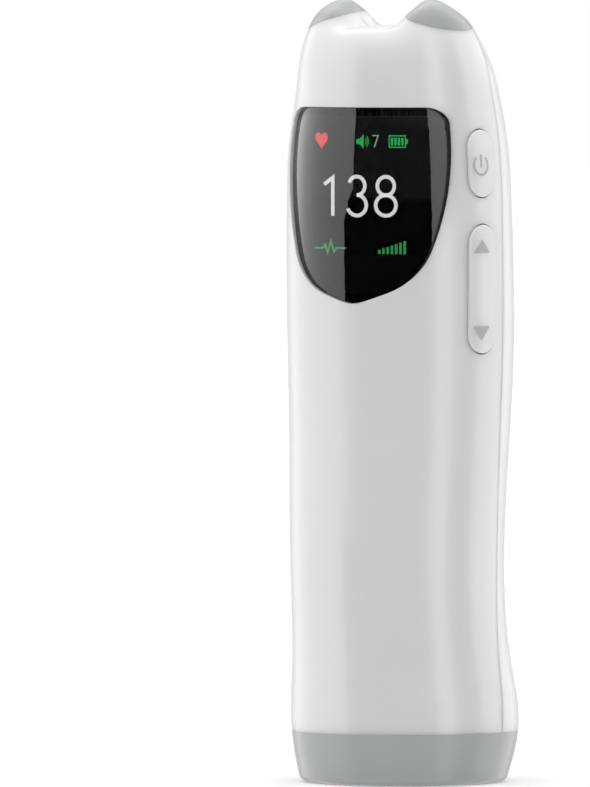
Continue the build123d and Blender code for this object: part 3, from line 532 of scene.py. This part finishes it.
def arc(middle, radii, start, end, steps=20):
    """Points along part of an ellipse, from one angle to another in degrees."""
    turns = [radians(start + (end - start) * step / steps) for step in range(steps + 1)]
    return [(middle[0] + radii[0] * cos(turn), middle[1] + radii[1] * sin(turn)) for turn in turns]


def edges_of(path, width):
    """The two sides of a stroke of even width along a path."""
    left, right = [], []
    for step, (x, z) in enumerate(path):
        before = path[max(0, step - 1)]
        after = path[min(len(path) - 1, step + 1)]
        along = (after[0] - before[0], after[1] - before[1])
        length = hypot(*along)
        side = (-along[1] / length * width / 2, along[0] / length * width / 2)
        left.append((x + side[0], z + side[1]))
        right.append((x - side[0], z - side[1]))
    return left, right


def stroke(path, width):
    """A stroke as a list of short four-sided plates end to end."""
    left, right = edges_of(path, width)
    return [
        [left[step], right[step], right[step + 1], left[step + 1]]
        for step in range(len(path) - 1)
    ]


def stroke_outline(path, width):
    """A stroke as one closed outline with many corners."""
    left, right = edges_of(path, width)
    return [left + right[::-1]]


print("the panel's face is at", round(SCREEN_FACE / MM, 2), "mm and plates are", PLATE / MM, "mm thick")

# %% [markdown]
# ## Sharp corners and closed rings
# A stroke that only follows its path gets thinner where the path turns sharply. Cutting both
# sides square to the line that halves the corner keeps it even. A closed ring can't be one
# outline, because it has a hole, so it is made of short plates instead.

# %% The three figures
FIGURE_WIDTH = 0.74
LEAST_COSINE = 0.3       # stops a very sharp corner from growing a spike
UPPER_BOWL = 119.5
LOWER_BOWL = 115.65
THREE_X = -2.0
EIGHT_X = 4.3


def mitred(path, width):
    """A stroke round sharp corners, cut square to the bisector at each."""
    left, right = [], []
    for step, (x, z) in enumerate(path):
        before = path[max(0, step - 1)]
        after = path[min(len(path) - 1, step + 1)]
        into = Vector((x - before[0], z - before[1])) if step else Vector((after[0] - x, after[1] - z))
        outof = Vector((after[0] - x, after[1] - z)) if step < len(path) - 1 else into
        into.normalize()
        outof = outof.normalized()
        bisector = (into + outof).normalized()
        side = Vector((-bisector.y, bisector.x)) * (width / 2 / max(LEAST_COSINE, bisector.dot(into)))
        left.append((x + side.x, z + side.y))
        right.append((x - side.x, z - side.y))
    return [left + right[::-1]]


def ring_plates(middle, radii, width, steps=40):
    """A closed ring of short plates."""
    return stroke(arc(middle, radii, 0, 360, steps), width)


one = mitred([(-9.05, 119.75), (-7.2, 121.1), (-7.2, 113.5)], FIGURE_WIDTH)
three = stroke_outline(arc((THREE_X, UPPER_BOWL), (1.75, 1.85), 160, -90), FIGURE_WIDTH)
three += stroke_outline(arc((THREE_X, LOWER_BOWL), (2.05, 2.05), 90, -160), FIGURE_WIDTH)
eight = ring_plates((EIGHT_X, UPPER_BOWL), (1.85, 1.85), FIGURE_WIDTH)
eight += ring_plates((EIGHT_X, LOWER_BOWL), (2.2, 2.05), FIGURE_WIDTH)
for name, outlines in (("figure_one", one), ("figure_three", three), ("figure_eight", eight)):
    plate_piece(name, outlines, glow_white)
    print(name, "has", len(outlines), "plates")

# %% [markdown]
# ## The heart and the loudness sign
# The top row of the screen holds small common signs. The heart is a well-known curve of sines
# and cosines, which needs no list of points, and it is scaled to fill a box. The loudness
# sign is a loudspeaker seen from the side with two waves, and a small figure beside it.

# %% Heart and loudness
WAVE_MIDDLE = (-0.6, 128.3)
WAVE_WIDTH = 0.2
THIN_WIDTH = 0.24        # of the small figure and the battery's frame


def heart(middle, width, height, steps=48):
    """A heart outline that fills the given box."""
    points = []
    for step in range(steps):
        turn = tau * step / steps
        x = sin(turn) ** 3
        z = (13 * cos(turn) - 5 * cos(2 * turn) - 2 * cos(3 * turn) - cos(4 * turn)) / 29 + 0.09
        points.append((middle[0] + x * width / 2, middle[1] + z * height))
    return [points]


plate_piece("heart_symbol", heart((-9.55, 128.35), 2.6, 3.3), glow_red)

horn = [(-2.1, 128.8), (-1.4, 128.8), (-0.5, 129.7), (-0.5, 126.9), (-1.4, 127.8), (-2.1, 127.8)]
waves = stroke_outline(arc(WAVE_MIDDLE, (0.65, 0.75), -50, 50, 8), WAVE_WIDTH)
waves += stroke_outline(arc(WAVE_MIDDLE, (1.1, 1.3), -50, 50, 10), WAVE_WIDTH)
plate_piece("loudness_symbol", [horn] + waves, glow_green)

seven = [(1.35, 129.5), (2.65, 129.5), (1.8, 127.2)]
plate_piece("loudness_figure", mitred(seven, THIN_WIDTH), glow_pale_green)
print("the loudness sign has", len(waves), "waves")

# %% [markdown]
# ## The battery sign
# A battery sign is a hollow box with a knob and filled bars. A hole in a flat outline is
# awkward, so the box is four plates that meet at the corners, and the bars come from a loop.

# %% Battery
CELL_BARS = 4
CELL_BAR_PITCH = 0.74
CELL_BAR_WIDTH = 0.5


def box_outline(left, right, low, high):
    """The four corners of an upright box."""
    return [(left, low), (right, low), (right, high), (left, high)]


def frame_of(left, right, low, high, width):
    """The four sides of a hollow box, as plates that meet and don't overlap."""
    return [
        box_outline(left, right, low, low + width),
        box_outline(left, right, high - width, high),
        box_outline(left, left + width, low + width, high - width),
        box_outline(right - width, right, low + width, high - width),
    ]


battery = frame_of(4.9, 8.65, 127.1, 129.6, THIN_WIDTH)
battery.append(box_outline(8.68, 9.05, 127.85, 128.85))
for bar in range(CELL_BARS):
    low_x = 5.4 + bar * CELL_BAR_PITCH
    battery.append(box_outline(low_x, low_x + CELL_BAR_WIDTH, 127.6, 129.1))
plate_piece("battery_symbol", battery, glow_green)
print("the battery sign has", len(battery), "plates")

# %% [markdown]
# ## The row at the foot of the screen
# Two plain signs fill the bottom row: a pulse trace and a row of level bars. They say nothing
# in any language, and they are as dim as such signs are on a small screen.

# %% Pulse trace and level bars
TRACE_REST = 107.1
TRACE_WIDTH = 0.36
LEVELS = 7
LEVEL_PITCH = 0.92
LEVEL_WIDTH = 0.55
LEVEL_FOOT = 106.0

trace = [(-11.0, TRACE_REST), (-9.3, TRACE_REST), (-8.8, 107.8), (-8.3, 106.2), (-7.6, 108.5),
         (-6.9, 106.4), (-6.4, TRACE_REST), (-4.3, TRACE_REST)]
plate_piece("pulse_trace", mitred(trace, TRACE_WIDTH), glow_dim_green)
levels = []
for bar in range(LEVELS):
    low_x = 2.6 + bar * LEVEL_PITCH
    rise = 0.8 + 0.3 * bar
    levels.append(box_outline(low_x, low_x + LEVEL_WIDTH, LEVEL_FOOT, LEVEL_FOOT + rise))
plate_piece("level_bars", levels, glow_dim_green)
print("the trace has", len(trace), "points and there are", LEVELS, "level bars")

# %% [markdown]
# ## Symbols printed on the keys
# The keys are curved, so a flat sign would sink in at one side. Each sign is drawn flat beside
# the key, then every corner is dropped straight onto the key's own surface and lifted by the
# thickness of the ink. A picture on the key would need no shapes, but it would blur close up.
# Each sign rides on its key's body, so it moves when the key does.

# %% Ink, and the power sign
INK = 0.03 * MM
DROP_FROM = 0.05         # metres from the grip's axis, well outside the keys
KEY_AZIMUTH = radians(71.5)
SIGN_MIDDLE = -0.6
SIGN_WIDTH = 0.48
POWER_Z = 123.7
ink = finish("key_ink", (0.45, 0.45, 0.44), 0.4, grain=0.3, depth=0.002)
key_out = Vector((sin(KEY_AZIMUTH), -cos(KEY_AZIMUTH), 0))
key_along = Vector((cos(KEY_AZIMUTH), sin(KEY_AZIMUTH), 0))


def surface_of(node):
    """A search tree over a CAD node's faces."""
    source = nodes[node].data
    return BVHTree.FromPolygons([vertex.co for vertex in source.vertices],
                                [tuple(face.vertices) for face in source.polygons])


def printed(name, node, body, outlines):
    """Closed outlines, in mm along and up, as thin ink on the outer face of a key."""
    tree = surface_of(node)
    rings = []
    for outline in outlines:
        hits = []
        for along, z in outline:
            start = grip_axis + key_out * DROP_FROM + key_along * along * MM + Vector((0, 0, z * MM))
            hits.append(tree.ray_cast(start, -key_out)[0])
        rings.append(([hit + key_out * INK for hit in hits], [hit - key_out * INK for hit in hits]))
    piece = thin_plates(name, rings, ink)
    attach(piece, body)
    return piece


power_ring = stroke(arc((SIGN_MIDDLE, POWER_Z), (1.95, 1.95), 130, 410, 36), SIGN_WIDTH)
power_line = stroke([(SIGN_MIDDLE, POWER_Z + rise) for rise in (-0.5, 0.8, 2.1)], SIGN_WIDTH)
printed("power_sign", "power_button", "power_button", power_ring + power_line)
print("the power sign has", len(power_ring + power_line), "plates of ink")

# %% [markdown]
# ## The volume arrows
# An arrow is only three corners, but a flat triangle between them would sink below the bulge
# of the key. Cut into narrow upright strips, it bends round the key as real ink does.

# %% Volume arrows
ARROW_WIDTH = 4.5


def arrow(middle, width, base, tip, columns=12):
    """A filled triangle cut into narrow upright strips, so that each lies flat on the key."""
    bands = []
    for column in range(columns):
        spots = [-1 + 2 * edge / columns for edge in (column, column + 1)]
        left, right = [middle + spot * width / 2 for spot in spots]
        tall_left, tall_right = [base + (tip - base) * (1 - abs(spot)) for spot in spots]
        band = [(left, base), (right, base), (right, tall_right), (left, tall_left)]
        bands.append([point for step, point in enumerate(band) if point != band[step - 1]])
    return bands


for name, base, tip in (("louder_sign", 106.2, 108.9), ("softer_sign", 91.6, 88.8)):
    printed(name, "volume_rocker", "volume_rocker", arrow(SIGN_MIDDLE, ARROW_WIDTH, base, tip))
    print(name, "is", round(abs(tip - base), 1), "mm tall")
